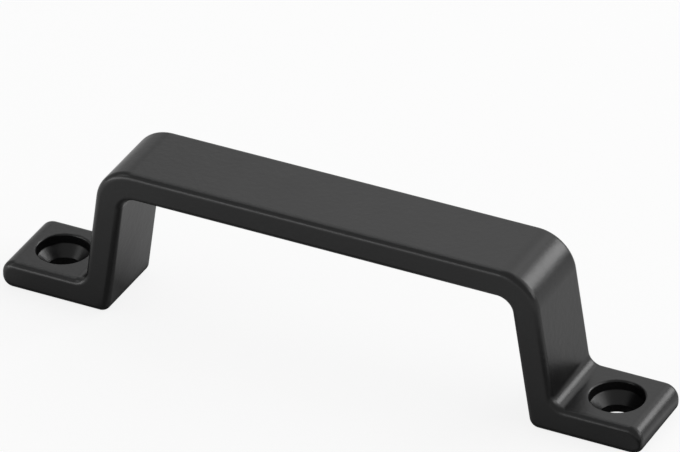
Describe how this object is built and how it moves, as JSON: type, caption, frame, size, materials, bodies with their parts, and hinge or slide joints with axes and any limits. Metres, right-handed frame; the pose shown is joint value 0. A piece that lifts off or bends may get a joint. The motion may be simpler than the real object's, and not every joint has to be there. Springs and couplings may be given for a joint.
{
  "type": "cabinet handle",
  "caption": "Straight grip on leaning legs, with flat outward feet that take countersunk screws, cast in one piece with a black coat.",
  "frame": {"origin": "on the mounting face, midway between the two screw holes", "axes": "+X along the grip, +Y across the bar, +Z out from the cabinet's face, the way the screws leave"},
  "size_m": [0.1108, 0.0144, 0.027],
  "materials": {
    "black_coat": "satin"
  },
  "bodies": {
    "root": {"handle": "black_coat"}
  },
  "joints": []
}
